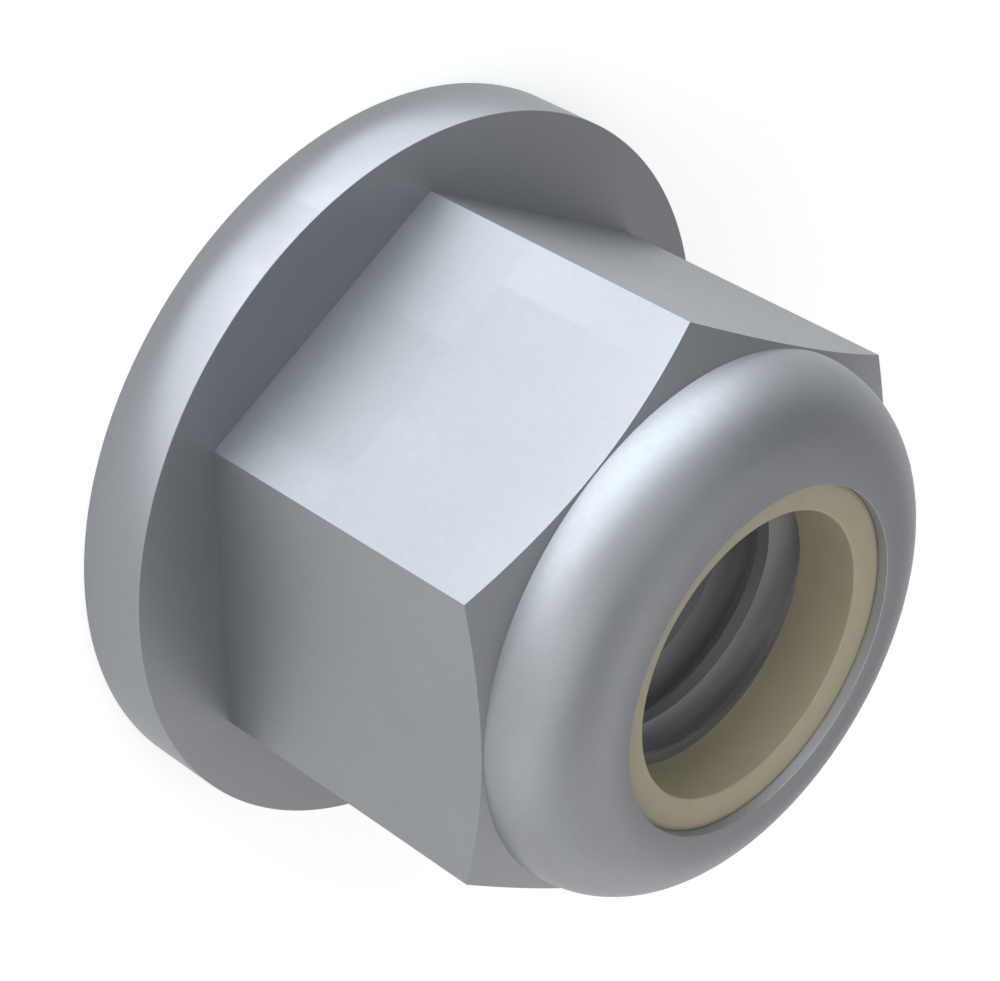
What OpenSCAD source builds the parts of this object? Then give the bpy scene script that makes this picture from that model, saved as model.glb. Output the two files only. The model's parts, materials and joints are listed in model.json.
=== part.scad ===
// Hexagon flange lock nut with a polyamide locking ring.
// The bearing face is at z = 0, the thread axis is Z, and the ring end points up.
// Two of the hexagon's corners lie on the X axis, so two of its flats face +Y and -Y.

/* [Thread] */
// Nominal thread diameter
thread_d = 6; // [5.5:0.05:6.4]
// Thread pitch
thread_pitch = 1; // [0.75:0.05:1.25]
// Diameter of the lead-in where it meets the bearing face
lead_in_d = 6.5; // [6.1:0.05:7.5]
// Included angle of the lead-in cone, in degrees
lead_in_angle = 120; // [90:5:130]

/* [Flange] */
// Outside diameter of the flange
flange_d = 13.65; // [12.5:0.05:16]
// Thickness of the flange
flange_t = 1.44; // [1.1:0.02:2.2]

/* [Nut] */
// Overall height of the nut
nut_h = 9.2; // [8.4:0.05:10]
// Width across the flats
across_flats = 10; // [9.6:0.05:10.6]
// Angle of the cone that chamfers the corners, from the horizontal, in degrees
corner_chamfer = 25; // [15:1:30]

/* [Collar] */
// Step from the hexagon's flats in to the collar
collar_step = 0.03; // [0.02:0.01:0.3]
// Radius of the rounded shoulder of the crimped collar
shoulder_r = 1.52; // [1.3:0.02:1.9]
// Thickness of the collar's wall and of its lip
collar_wall = 0.6; // [0.4:0.02:0.8]
// Diameter of the opening inside the lip
lip_hole_d = 6.43; // [6:0.01:6.8]

/* [Locking ring] */
// Height of the ring's shoulder above the pocket floor
ring_shoulder_h = 0.84; // [0.5:0.01:1.1]
// Bore of the ring
ring_bore_d = 5.28; // [5.05:0.01:5.6]
// Depth of the ring's face below the lip, at the lip
face_drop_outer = 0.18; // [0.02:0.01:0.3]
// Depth of the ring's face below the lip, at the bore
face_drop_inner = 0.24; // [0.1:0.01:0.45]
// Rounding of the ring's edge next to the lip
round_outer = 0.08; // [0.05:0.01:0.24]
// Rounding of the ring's edge at its bore
round_inner = 0.1; // [0.05:0.01:0.2]
// Clearance between the ring and the collar
ring_clearance = 0.02; // [0.02:0.01:0.1]

/* [Hidden] */
$fn = 180;
cut = 1;                                      // how far a cutting shape runs past a face

// Thread
core_d = thread_d - 1.25 * thread_pitch * cos(30);
lead_in_depth = (lead_in_d - core_d) / 2 / tan(lead_in_angle / 2);

// Hexagon and the cone over its corners
flat_r = across_flats / 2;
corner_r = flat_r / cos(30);
collar_r = flat_r - collar_step;
collar_z = nut_h - shoulder_r;
cone_r = corner_r + cut;

// Collar: a quarter circle from its foot to the flat lip
shoulder_x = collar_r - shoulder_r;
pocket_r = shoulder_r - collar_wall;
lip_under_z = collar_z + pocket_r;
lip_r = lip_hole_d / 2;

// Ring: its shoulder fills the pocket and its neck fills the lip's opening
ring_top_z = lip_under_z - ring_clearance;
pocket_floor_z = ring_top_z - ring_shoulder_h;
ring_r = ring_bore_d / 2;
neck_r = lip_r - ring_clearance;
face_outer_z = nut_h - face_drop_outer;
face_inner_z = nut_h - face_drop_inner;
face_slope = atan((face_outer_z - face_inner_z) / (neck_r - ring_r));

// Height of the ring's face at radius x
function face_z(x) = face_inner_z + (x - ring_r) * tan(face_slope);

// Centre of the circle that rounds the face into a wall, with its middle at radius x
function round_centre(x, r) = [x, face_z(x) - r / cos(face_slope)];

// Where that circle meets the face
function face_tangent(c, r) = c + r * [-sin(face_slope), cos(face_slope)];

module flange() {
    cylinder(d = flange_d, h = flange_t);
}

module hexagon() {
    intersection() {
        cylinder(r = corner_r, h = collar_z, $fn = 6);
        rotate_extrude()
            polygon([
                [0, 0],
                [cone_r, 0],
                [cone_r, collar_z - (cone_r - collar_r) * tan(corner_chamfer)],
                [collar_r, collar_z],
                [0, collar_z]
            ]);
    }
}

module collar() {
    rotate_extrude() {
        square([shoulder_x, nut_h]);
        square([collar_r, collar_z]);
        intersection() {
            translate([shoulder_x, collar_z]) circle(r = shoulder_r);
            square([collar_r, nut_h]);
        }
    }
}

// Half section of the pocket under the collar, grown inwards by the gap
module pocket_section(gap) {
    intersection() {
        union() {
            translate([shoulder_x, collar_z]) circle(r = pocket_r - gap);
            square([shoulder_x, lip_under_z - gap]);
        }
        translate([0, pocket_floor_z]) square([collar_r, nut_h]);
    }
}

module pocket() {
    rotate_extrude() pocket_section(0);
    translate([0, 0, pocket_floor_z]) cylinder(r = lip_r, h = nut_h);
}

module thread_core() {
    translate([0, 0, -cut]) cylinder(d = core_d, h = nut_h);
    translate([0, 0, -cut])
        cylinder(
            d1 = lead_in_d + 2 * cut * tan(lead_in_angle / 2),
            d2 = core_d,
            h = lead_in_depth + cut
        );
}

// Half section of the ring's neck, from the pocket floor to its sloping face
module neck_section() {
    outer = round_centre(neck_r - round_outer, round_outer);
    inner = round_centre(ring_r + round_inner, round_inner);
    translate(outer) circle(r = round_outer);
    translate(inner) circle(r = round_inner);
    polygon([
        [ring_r, pocket_floor_z],
        [neck_r, pocket_floor_z],
        [neck_r, outer.y],
        face_tangent(outer, round_outer),
        face_tangent(inner, round_inner),
        [ring_r, inner.y]
    ]);
}

module nut_body() {
    color("lightsteelblue")
        difference() {
            union() {
                flange();
                hexagon();
                collar();
            }
            pocket();
            thread_core();
        }
}

module locking_ring() {
    color("tan")
        rotate_extrude() {
            difference() {
                pocket_section(ring_clearance);
                square([ring_r, nut_h]);
            }
            neck_section();
        }
}

nut_body();
locking_ring();
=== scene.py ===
"""A zinc-plated flange lock nut with its nylon locking ring, on a white studio table."""

import json
import math

import bmesh
import bpy
from mathutils import Matrix, Vector


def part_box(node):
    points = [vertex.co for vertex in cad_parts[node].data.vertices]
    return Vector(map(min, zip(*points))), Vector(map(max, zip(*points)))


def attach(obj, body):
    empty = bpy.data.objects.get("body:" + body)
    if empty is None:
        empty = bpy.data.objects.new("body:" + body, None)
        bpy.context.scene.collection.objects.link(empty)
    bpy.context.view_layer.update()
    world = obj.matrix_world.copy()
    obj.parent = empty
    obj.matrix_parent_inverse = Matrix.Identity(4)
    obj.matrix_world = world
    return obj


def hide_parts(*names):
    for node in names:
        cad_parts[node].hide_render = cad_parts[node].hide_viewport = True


MM = 0.001
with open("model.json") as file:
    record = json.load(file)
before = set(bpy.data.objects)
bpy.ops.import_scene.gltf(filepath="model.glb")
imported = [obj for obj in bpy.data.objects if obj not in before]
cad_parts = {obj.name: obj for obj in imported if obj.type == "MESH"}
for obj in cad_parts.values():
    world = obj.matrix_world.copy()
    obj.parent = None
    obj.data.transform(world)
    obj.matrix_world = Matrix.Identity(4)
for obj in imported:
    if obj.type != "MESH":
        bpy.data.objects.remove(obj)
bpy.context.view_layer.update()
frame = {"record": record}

# Sizes in millimetres. What the frame can tell is read from it.
nut_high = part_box("nut_body")[1]
ring_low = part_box("locking_ring")[0]
mounts = {m["name"]: m for m in frame["record"]["mounts"]}

FLANGE_R = nut_high.x / MM
FLANGE_T = 1.44
NUT_H = nut_high.z / MM
ACROSS_FLATS = 10.0
CORNER_CHAMFER = math.radians(25)
COLLAR_STEP = 0.03
SHOULDER_R = 1.52
COLLAR_WALL = 0.6
LIP_R = 3.215
# How far the sharp edges of the flange and of the lip are rounded
EDGE_BREAK = 0.02
LIP_BREAK = 0.01

CORE_R = mounts["thread"]["dims"]["r_mm"]
PITCH = 1.0
# A metric thread is 5/8 of the height of its 60 degree triangle deep
THREAD_DEPTH = 5 / 8 * PITCH * math.cos(math.radians(30))
ROOT_R = CORE_R + THREAD_DEPTH
# Height of the lowest whole crest where the thread crosses the +X side
THREAD_START = 0.02
LEAD_IN_R = 3.25
LEAD_IN_TAN = math.tan(math.radians(60))

RING_FLOOR = ring_low.z / MM
RING_BORE_R = 2.64
RING_CLEARANCE = 0.02
# The lip grips the ring's neck closer than the ring's shoulder sits in its pocket
NECK_CLEARANCE = 0.005
FACE_DROP_OUTER = 0.18
FACE_DROP_INNER = 0.24
ROUND_OUTER = 0.15
ROUND_INNER = 0.05
# The rounded edge dips into the lip's opening before it has turned upright
DIP_ANGLE = 60

FLAT_R = ACROSS_FLATS / 2
COLLAR_R = FLAT_R - COLLAR_STEP
COLLAR_Z = NUT_H - SHOULDER_R
SHOULDER_X = COLLAR_R - SHOULDER_R
POCKET_R = SHOULDER_R - COLLAR_WALL
LIP_UNDER_Z = COLLAR_Z + POCKET_R

# Steps of one full turn, and the sectors that it is built from, each with one flat of the hexagon
TURN_STEPS = 240
SECTORS = 6
# Steps across each crest, flank and root of the thread
FACET_STEPS = 6
# Steps along the arcs of the outlines
EDGE_STEPS = 4
SHOULDER_STEPS = 24
POCKET_STEPS = 12
ROUND_STEPS = 8
BACKDROP_STEPS = 12
# Two heights, radii or points that lie closer than this, in metres, are the same
CLOSE = 1e-7


# Camera: it looks at the nut from the ring end, rolled until the hexagon lies as in the photograph
CAMERA_AIM = Vector((0.080, 0.861, 3.451)) * MM
CAMERA_DISTANCE = 52.58 * MM
CAMERA_AZIMUTH = math.radians(105.02)
CAMERA_ELEVATION = math.radians(35.20)
CAMERA_ROLL = math.radians(119.97)
CAMERA_LENS = 109.31


def toward(azimuth, elevation):
    """Unit vector that points from the nut at an azimuth and elevation."""
    level = math.cos(elevation)
    return Vector((level * math.cos(azimuth), level * math.sin(azimuth), math.sin(elevation)))


def add_camera():
    camera = bpy.data.objects.new("camera", bpy.data.cameras.new("camera"))
    camera.data.lens = CAMERA_LENS
    camera.data.sensor_width = 36
    camera.data.clip_start = 1 * MM
    out = toward(CAMERA_AZIMUTH, CAMERA_ELEVATION)
    turn = out.to_track_quat("Z", "Y").to_matrix() @ Matrix.Rotation(CAMERA_ROLL, 3, "Z")
    camera.matrix_world = Matrix.LocRotScale(CAMERA_AIM + out * CAMERA_DISTANCE, turn, None)
    bpy.context.scene.collection.objects.link(camera)
    bpy.context.scene.camera = camera


# Outlines: lists of (radius, height) in millimetres


def arc(centre, radius, start, end, steps):
    """Points on an arc of the half section, with angles in degrees from the outward radius."""
    turns = [math.radians(start + (end - start) * i / steps) for i in range(steps + 1)]
    return [(centre[0] + radius * math.cos(a), centre[1] + radius * math.sin(a)) for a in turns]


def nut_outline():
    """From the lead-in's rim, round the flange, up the hexagon, over the collar and into the pocket."""
    r = EDGE_BREAK
    flange_low = arc((FLANGE_R - r, r), r, -90, 0, EDGE_STEPS)
    flange_high = arc((FLANGE_R - r, FLANGE_T - r), r, 0, 90, EDGE_STEPS)
    hexagon = [(FLAT_R, FLANGE_T), (FLAT_R, COLLAR_Z)]
    shoulder = arc((SHOULDER_X, COLLAR_Z), SHOULDER_R, 0, 90, SHOULDER_STEPS)
    lip = arc((LIP_R + LIP_BREAK, NUT_H - LIP_BREAK), LIP_BREAK, 90, 180, EDGE_STEPS)
    pocket_end = math.degrees(math.asin((RING_FLOOR - COLLAR_Z) / POCKET_R))
    pocket = [(LIP_R, LIP_UNDER_Z)] + arc((SHOULDER_X, COLLAR_Z), POCKET_R, 90, pocket_end, POCKET_STEPS)
    return [(LEAD_IN_R + r, 0)] + flange_low + flange_high + hexagon + shoulder + lip + pocket


def ring_outline():
    """Closed half section of the locking ring."""
    neck = LIP_R - NECK_CLEARANCE
    outer_z = NUT_H - FACE_DROP_OUTER
    inner_z = NUT_H - FACE_DROP_INNER
    slope = math.atan((outer_z - inner_z) / (neck - RING_BORE_R))
    tilt = math.degrees(slope)

    def round_off(x, r, start, end):
        z = inner_z + (x - RING_BORE_R) * math.tan(slope) - r / math.cos(slope)
        return arc((x, z), r, start, end, ROUND_STEPS)

    gap_r = POCKET_R - RING_CLEARANCE
    shoulder_end = math.degrees(math.asin((RING_FLOOR - COLLAR_Z) / gap_r))
    shoulder = arc((SHOULDER_X, COLLAR_Z), gap_r, shoulder_end, 90, POCKET_STEPS)
    crown_x = neck - ROUND_OUTER * math.cos(math.radians(DIP_ANGLE))
    outer = round_off(crown_x, ROUND_OUTER, DIP_ANGLE, 90 + tilt)
    inner = round_off(RING_BORE_R + ROUND_INNER, ROUND_INNER, 90 + tilt, 180)
    return shoulder + [(neck, COLLAR_Z + gap_r)] + outer + inner + [(RING_BORE_R, RING_FLOOR)]


def thread_outline():
    """From below the bearing face to above the pocket floor: crests, flanks and roots of the thread."""
    crest, root, flank = PITCH / 4, PITCH / 8, PITCH * 5 / 16
    shape = [(CORE_R, 0), (CORE_R, crest), (ROOT_R, crest + flank), (ROOT_R, crest + flank + root)]
    turns = range(-2, math.ceil(RING_FLOOR / PITCH) + 1)
    corners = [(x, THREAD_START + turn * PITCH + z) for turn in turns for x, z in shape]
    points = []
    for (x0, z0), (x1, z1) in zip(corners, corners[1:]):
        shares = [i / FACET_STEPS for i in range(FACET_STEPS)]
        points += [(x0 + (x1 - x0) * share, z0 + (z1 - z0) * share) for share in shares]
    return points + corners[-1:]


# Mesh building


def add_wire(bm, outline, closed=False):
    """An outline in the XZ plane, as vertices and edges in metres."""
    verts = [bm.verts.new((x * MM, 0, z * MM)) for x, z in outline]
    pairs = list(zip(verts, verts[1:])) + ([(verts[-1], verts[0])] if closed else [])
    return verts + [bm.edges.new(pair) for pair in pairs]


def spin(outline, closed=False, rise=0.0):
    """A new bmesh: one sector of an outline spun about Z, then repeated round it, with a rise a turn."""
    bm = bmesh.new()
    bmesh.ops.spin(
        bm, geom=add_wire(bm, outline, closed), axis=(0, 0, 1), dvec=(0, 0, rise / TURN_STEPS),
        angle=math.tau / SECTORS, steps=TURN_STEPS // SECTORS,
    )
    bmesh.ops.spin(
        bm, geom=bm.verts[:] + bm.edges[:] + bm.faces[:], axis=(0, 0, 1), dvec=(0, 0, rise / SECTORS),
        angle=math.tau * (1 - 1 / SECTORS), steps=SECTORS - 1, use_duplicate=True,
    )
    bmesh.ops.remove_doubles(bm, verts=bm.verts, dist=CLOSE)
    return bm


def radius(vert):
    return vert.co.xy.length / MM


def set_radius(vert, r):
    vert.co.xy *= r / radius(vert)


def hexagon_radius(vert):
    """Distance from the axis to the hexagon's wall, towards a vertex."""
    sector = math.radians(60)
    angle = math.atan2(vert.co.y, vert.co.x) % sector
    return FLAT_R / math.cos(angle - sector / 2)


def shape_hexagon(bm):
    """Moves the two rings of the hexagon out to its wall, and its top ring down its chamfer."""
    for vert in bm.verts:
        if abs(radius(vert) - FLAT_R) > CLOSE / MM:
            continue
        r = hexagon_radius(vert)
        set_radius(vert, r)
        if vert.co.z > (FLANGE_T + COLLAR_Z) / 2 * MM:
            vert.co.z = (COLLAR_Z - (r - COLLAR_R) * math.tan(CORNER_CHAMFER)) * MM


def cut_lead_in(bm):
    """Opens the thread out to the lead-in cone wherever the cone is wider."""
    for vert in bm.verts:
        cone = LEAD_IN_R - vert.co.z / MM * LEAD_IN_TAN
        if radius(vert) < cone:
            set_radius(vert, cone)


def spin_thread():
    """The threaded wall of the bore, cut off level at the bearing face and at the pocket floor."""
    bm = spin(thread_outline(), rise=PITCH * MM)
    for z, side in ((RING_FLOOR * MM, 1), (0, -1)):
        bmesh.ops.bisect_plane(
            bm, geom=bm.verts[:] + bm.edges[:] + bm.faces[:], dist=1e-8,
            plane_co=(0, 0, z), plane_no=(0, 0, side), clear_outer=True,
        )
    cut_lead_in(bm)
    return bm


def join(bm, other):
    """Adds another bmesh to the first, and frees it."""
    carrier = bpy.data.meshes.new("carrier")
    other.to_mesh(carrier)
    other.free()
    bm.from_mesh(carrier)
    bpy.data.meshes.remove(carrier)


def close_level(bm, z):
    """Fills the flat ring between the thread's cut end and the skin, at a height."""
    rims = [e for e in bm.edges if e.is_boundary and all(abs(v.co.z - z * MM) < CLOSE for v in e.verts)]
    bmesh.ops.triangle_fill(bm, edges=rims, use_beauty=True, use_dissolve=False, normal=(0, 0, 1))


def finish_mesh(bm, name, material, sharp_angle=30):
    """Turns a bmesh into a smooth-shaded piece whose folds above an angle stay sharp."""
    bmesh.ops.recalc_face_normals(bm, faces=bm.faces)
    for face in bm.faces:
        face.smooth = True
    for edge in bm.edges:
        edge.smooth = edge.calc_face_angle(0) < math.radians(sharp_angle)
    mesh = bpy.data.meshes.new(name)
    bm.to_mesh(mesh)
    bm.free()
    mesh.materials.append(material)
    piece = bpy.data.objects.new(name, mesh)
    bpy.context.scene.collection.objects.link(piece)
    weighted = piece.modifiers.new("flat faces stay flat", "WEIGHTED_NORMAL")
    weighted.keep_sharp = True
    return piece


def build_nut(material):
    bm = spin(nut_outline())
    shape_hexagon(bm)
    join(bm, spin_thread())
    close_level(bm, 0)
    close_level(bm, RING_FLOOR)
    return finish_mesh(bm, "zinc_plated_nut", material)


def build_ring(material):
    return finish_mesh(spin(ring_outline(), closed=True), "nylon_ring", material)


# Materials


def srgb(code):
    """Linear colour of an sRGB hex value such as 9A9B9F."""
    parts = [int(code[i:i + 2], 16) / 255 for i in (0, 2, 4)]
    return [p / 12.92 if p <= 0.04045 else ((p + 0.055) / 1.055) ** 2.4 for p in parts] + [1]


def node(tree, kind, links=(), **settings):
    """Adds a node, sets its properties or input values by name, and links sockets into its inputs."""
    made = tree.nodes.new(kind)
    for key, value in settings.items():
        if hasattr(made, key):
            setattr(made, key, value)
        else:
            made.inputs[key.replace("_", " ")].default_value = value
    for name, source in links:
        tree.links.new(source, made.inputs[name])
    return made


def new_material(name):
    material = bpy.data.materials.new(name)
    material.use_nodes = True
    material.node_tree.nodes.clear()
    return material, material.node_tree


def blend(tree, factor, first, second):
    """A mix of two colours, each an sRGB hex value or the output of another node."""
    mixed = node(tree, "ShaderNodeMix", [("Factor", factor)], data_type="RGBA")
    for socket, colour in (("A", first), ("B", second)):
        if isinstance(colour, str):
            mixed.inputs[socket].default_value = srgb(colour)
        else:
            tree.links.new(colour, mixed.inputs[socket])
    return mixed.outputs["Result"]


def step_at(tree, value, low, high):
    """0 where a distance is beyond the first limit and 1 beyond the second, both in millimetres."""
    ramp = node(tree, "ShaderNodeMapRange", [("Value", value)], From_Min=low * MM, From_Max=high * MM)
    return ramp.outputs["Result"]


def zinc_plated_steel():
    """Bright zinc over cold-forged steel: a soft satin grey with a faint blue cast and a fine grain.

    The lip's inner wall and the threaded bore are painted lighter than the rest, as painted light against
    the shade inside them; the thread's crests and roots keep the lightest colour as painted light, and its
    flanks are painted darker, as painted shade.
    """
    material, tree = new_material("zinc_plated_steel")
    place = node(tree, "ShaderNodeTexCoord").outputs["Object"]
    grain = node(tree, "ShaderNodeTexNoise", [("Vector", place)], Scale=1 / (0.12 * MM), Detail=3.0)
    cloud = node(tree, "ShaderNodeTexNoise", [("Vector", place)], Scale=1 / (3 * MM), Detail=2.0)
    across = node(tree, "ShaderNodeMapping", [("Vector", place)], Scale=(1, 1, 0))
    length = node(tree, "ShaderNodeVectorMath", [(0, across.outputs["Vector"])], operation="LENGTH")
    out = length.outputs["Value"]
    plated = blend(tree, cloud.outputs["Fac"], "8B8D91", "929498")
    # The lip's inner wall is painted a lighter grey, A6A7AA: painted light where the wall lies in shade
    # beside the ring
    lip = step_at(tree, out, LIP_R + 0.008, LIP_R + 0.004)
    # The threaded bore is painted much lighter, CACBCE: painted light against the shade in the bore, kept
    # at full strength on the crests and roots
    bore = step_at(tree, out, ROOT_R + 0.04, ROOT_R + 0.02)
    plated_and_painted_light = blend(tree, bore, blend(tree, lip, plated, "A6A7AA"), "CACBCE")
    # The flanks are painted darker, 9FA0A3, as painted shade between the lighter crests, fading back to
    # the lighter painted light over the last 0.3 mm towards each root
    past_crest = step_at(tree, out, CORE_R + 0.001, CORE_R + 0.004)
    short_of_root = step_at(tree, out, ROOT_R, ROOT_R - 0.3)
    flank = node(tree, "ShaderNodeMath", [(0, past_crest), (1, short_of_root)], operation="MULTIPLY")
    colour = blend(tree, flank.outputs[0], plated_and_painted_light, "9FA0A3")
    satin = node(
        tree, "ShaderNodeMapRange", [("Value", grain.outputs["Fac"])],
        From_Min=0.3, From_Max=0.7, To_Min=0.47, To_Max=0.53,
    )
    bump = node(
        tree, "ShaderNodeBump", [("Height", grain.outputs["Fac"])],
        Strength=0.08, Distance=0.004 * MM,
    )
    shader = node(
        tree, "ShaderNodeBsdfPrincipled",
        [
            ("Base Color", colour),
            ("Roughness", satin.outputs["Result"]),
            ("Normal", bump.outputs["Normal"]),
        ],
        Metallic=1.0,
    )
    node(tree, "ShaderNodeOutputMaterial", [("Surface", shader.outputs["BSDF"])])
    return material


def moulded_nylon():
    """Natural polyamide as moulded: warm khaki, slightly waxy, with a faint mottle."""
    material, tree = new_material("moulded_nylon")
    place = node(tree, "ShaderNodeTexCoord").outputs["Object"]
    mottle = node(tree, "ShaderNodeTexNoise", [("Vector", place)], Scale=1 / (0.5 * MM), Detail=3.0)
    colour = blend(tree, mottle.outputs["Fac"], "928972", "9B937C")
    bump = node(
        tree, "ShaderNodeBump", [("Height", mottle.outputs["Fac"])],
        Strength=0.2, Distance=0.01 * MM,
    )
    shader = node(
        tree, "ShaderNodeBsdfPrincipled",
        [("Base Color", colour), ("Normal", bump.outputs["Normal"])],
        Roughness=0.45, IOR=1.53,
    )
    node(tree, "ShaderNodeOutputMaterial", [("Surface", shader.outputs["BSDF"])])
    return material


# Studio

# Radii of the table's flat part and of the sweep of its backdrop, in millimetres
TABLE_R = 300
BACKDROP_R = 100
# What lifts the table to white: less near the nut, where the lamps light it, and more far out
NEAR_R = 45
NEAR_LIFT = 0.45
FAR_R = 85
FAR_LIFT = 0.66
WORLD_STRENGTH = 0.3
COOL_WHITE = "F1FAFF"


def add_table():
    """A round white table whose far edge sweeps up into a low backdrop.

    Seen directly or in the metal it is lifted to white, and it keeps the nut's soft shadow.
    """
    bm = spin([(0, 0)] + arc((TABLE_R, BACKDROP_R), BACKDROP_R, -90, 0, BACKDROP_STEPS))
    for face in bm.faces:
        face.smooth = True
    mesh = bpy.data.meshes.new("table")
    bm.to_mesh(mesh)
    bm.free()
    material, tree = new_material("white_table")
    rays = node(tree, "ShaderNodeLightPath")
    seen = rays.outputs["Is Camera Ray"]
    for kind in ("Is Glossy Ray", "Is Transmission Ray"):
        either = node(tree, "ShaderNodeMath", [(0, seen), (1, rays.outputs[kind])], operation="MAXIMUM")
        seen = either.outputs[0]
    place = node(tree, "ShaderNodeTexCoord").outputs["Object"]
    out = node(tree, "ShaderNodeVectorMath", [(0, place)], operation="LENGTH")
    lift = node(
        tree, "ShaderNodeMapRange", [("Value", out.outputs["Value"])],
        From_Min=NEAR_R * MM, From_Max=FAR_R * MM, To_Min=NEAR_LIFT, To_Max=FAR_LIFT,
    )
    shown = node(tree, "ShaderNodeMath", [(0, seen), (1, lift.outputs["Result"])], operation="MULTIPLY")
    paint = node(tree, "ShaderNodeBsdfDiffuse", Color=srgb("D8D8D8"))
    glow = node(tree, "ShaderNodeEmission", [("Strength", shown.outputs[0])])
    both = node(tree, "ShaderNodeAddShader", [(0, paint.outputs[0]), (1, glow.outputs[0])])
    node(tree, "ShaderNodeOutputMaterial", [("Surface", both.outputs[0])])
    mesh.materials.append(material)
    table = bpy.data.objects.new("table", mesh)
    bpy.context.scene.collection.objects.link(table)


def add_lamp(name, azimuth, out, height, faces, size, strength, depth=None, colour="FFFFFF", oval=False):
    """A soft box at a distance from the axis and a height, square unless it has a depth or is oval.

    It shines towards the axis, at the elevation that it faces. Its strength is its surface's radiance.
    """
    depth = depth or size
    area = size * depth * MM ** 2 * (math.pi / 4 if oval else 1)
    lamp = bpy.data.lights.new(name, "AREA")
    lamp.shape = "ELLIPSE" if oval else "RECTANGLE"
    lamp.size = size * MM
    lamp.size_y = depth * MM
    lamp.energy = strength * math.pi * area
    lamp.color = srgb(colour)[:3]
    turn = math.radians(azimuth)
    side = toward(turn + math.pi / 2, 0)
    back = toward(turn, math.radians(-faces))
    axes = Matrix((side, back.cross(side), back)).transposed()
    place = toward(turn, 0) * out * MM + Vector((0, 0, height * MM))
    holder = bpy.data.objects.new(name, lamp)
    holder.matrix_world = Matrix.LocRotScale(place, axes, None)
    holder.visible_camera = False
    bpy.context.scene.collection.objects.link(holder)


def add_world():
    world = bpy.data.worlds.new("studio")
    world.use_nodes = True
    background = world.node_tree.nodes["Background"]
    background.inputs["Color"].default_value = srgb("FFFFFF")
    background.inputs["Strength"].default_value = WORLD_STRENGTH
    bpy.context.scene.world = world


add_camera()
steel = zinc_plated_steel()
nylon = moulded_nylon()
nut = build_nut(steel)
ring = build_ring(nylon)
for piece, cad_node, slot in (
    (nut, "nut_body", "zinc_plated_steel"),
    (ring, "locking_ring", "polyamide"),
):
    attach(piece, "root")
    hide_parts(cad_node)

add_table()
add_world()
add_lamp("key card", 72, out=36, height=12.7, faces=55, size=50, depth=44, strength=3.8, colour=COOL_WHITE)
# Two strips, just clear of the flange, brighten its rim
for side, azimuth, strength in (("right", 67, 1.65), ("left", 98, 1.55)):
    add_lamp(
        f"{side} rim strip", azimuth, out=10.1, height=0.3, faces=90, size=21, depth=6,
        strength=strength, colour=COOL_WHITE, oval=True,
    )
add_lamp("right box", 35, out=77, height=25, faces=-15, size=40, strength=1.4, colour=COOL_WHITE)
add_lamp("low left box", 125, out=79, height=18, faces=-10, size=40, strength=1.7)
add_lamp("left box", 140, out=63, height=54, faces=-38, size=60, strength=1.5)
add_lamp("far left box", 185, out=78, height=31, faces=-20, size=44, depth=60, strength=1.4)
add_lamp("far box", 240, out=66, height=50, faces=-35, size=90, strength=0.75)
add_lamp("far right box", 310, out=76, height=30, faces=-21, size=65, strength=0.2)
add_lamp("front top box", 65, out=51, height=66, faces=-50, size=60, strength=0.8)
add_lamp("top box", 300, out=30, height=80, faces=-68, size=60, strength=0.7)

scene = bpy.context.scene
scene.view_settings.view_transform = "Standard"
